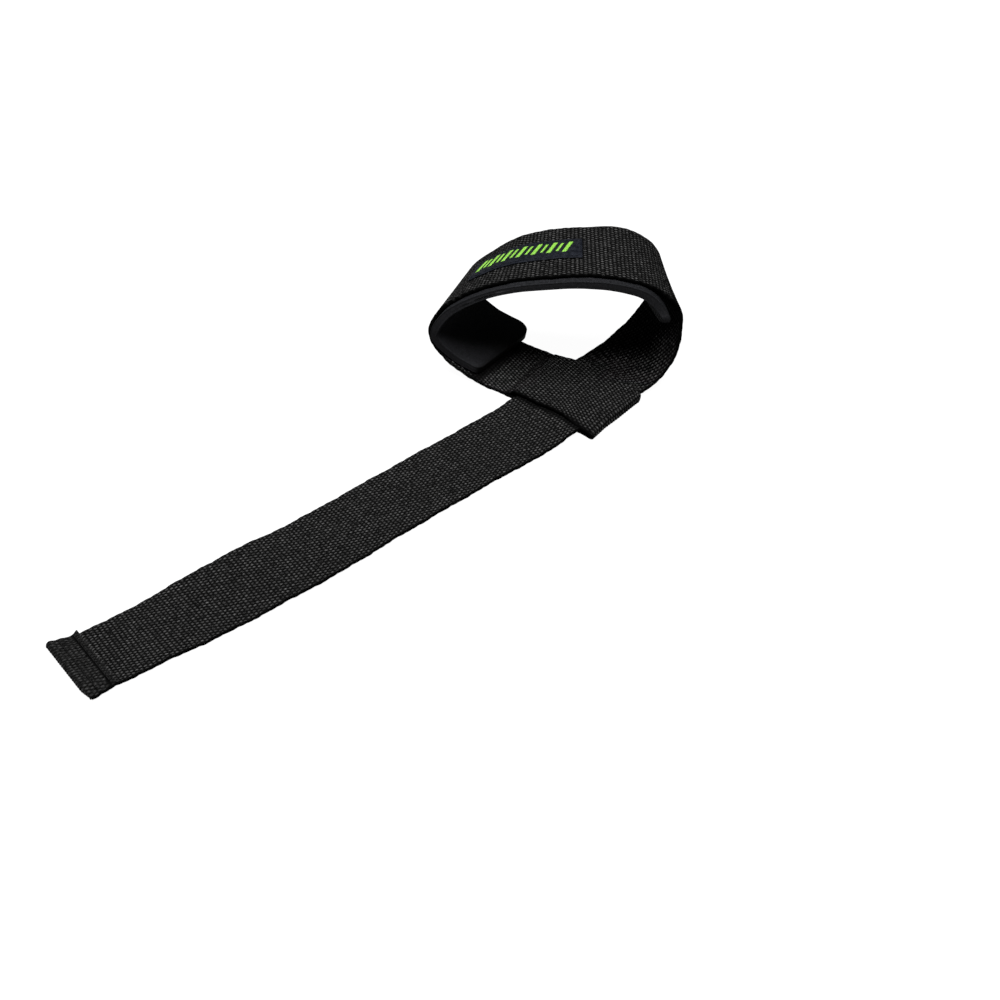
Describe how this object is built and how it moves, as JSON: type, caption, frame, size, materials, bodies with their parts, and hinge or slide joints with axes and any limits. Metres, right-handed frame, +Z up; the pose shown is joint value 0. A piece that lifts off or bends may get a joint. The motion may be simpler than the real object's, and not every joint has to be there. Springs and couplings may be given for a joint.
{
  "type": "padded weightlifting strap",
  "caption": "Padded cotton lifting strap lying with its wrist loop standing up: a hemmed web tail passes through its own sewn eye, with a foam wrist pad and a small woven label.",
  "frame": {"origin": "middle of the bottom of the part's box, on the surface that it lies on", "axes": "+X along the tail from the hem towards the wrist loop, +Y across the tail, +Z up"},
  "size_m": [0.3284, 0.103, 0.0652],
  "materials": {
    "webbing": "coarse plain-woven cotton, matt black with grey fibre glints",
    "pad": "smooth knitted face on foam, black with a faint navy cast, dark grey cut edge",
    "label": "fine woven label, dark navy with lime green bars"
  },
  "bodies": {
    "root": {"strap_webbing": "webbing", "wrist_pad": "pad", "label_patch": "label"}
  },
  "joints": []
}
